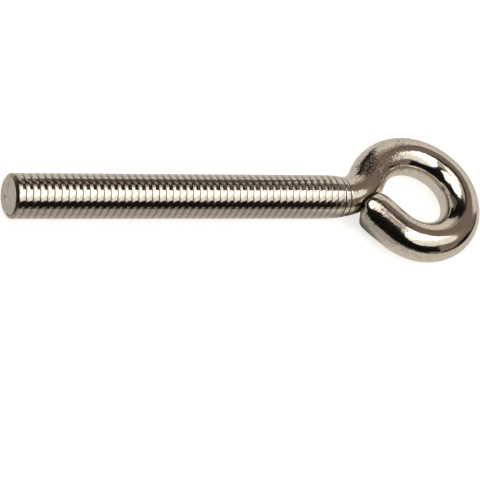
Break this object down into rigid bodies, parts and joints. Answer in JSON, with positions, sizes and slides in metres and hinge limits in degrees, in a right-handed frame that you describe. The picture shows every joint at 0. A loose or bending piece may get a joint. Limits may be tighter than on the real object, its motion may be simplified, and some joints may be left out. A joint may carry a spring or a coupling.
{
  "type": "screw eye",
  "caption": "Metric screw eye bent from one length of round wire: a straight threaded shank with a flat sheared end and a closed round eye on a short cranked neck.",
  "frame": {"origin": "centre of the sheared flat end of the shank, on the shank's axis", "axes": "+X along the shank towards the eye, +Y in the plane of the eye towards the side on which the neck bends away, +Z square to the plane of the eye; the part lies flat on the XY plane's underside"},
  "size_m": [0.0705, 0.0186, 0.006],
  "materials": {
    "plated_steel": "bright nickel-toned zinc plating over steel wire, glossy and slightly warm, dull grey on the two sheared ends"
  },
  "bodies": {
    "root": {"screw_eye": "plated_steel"}
  },
  "joints": []
}
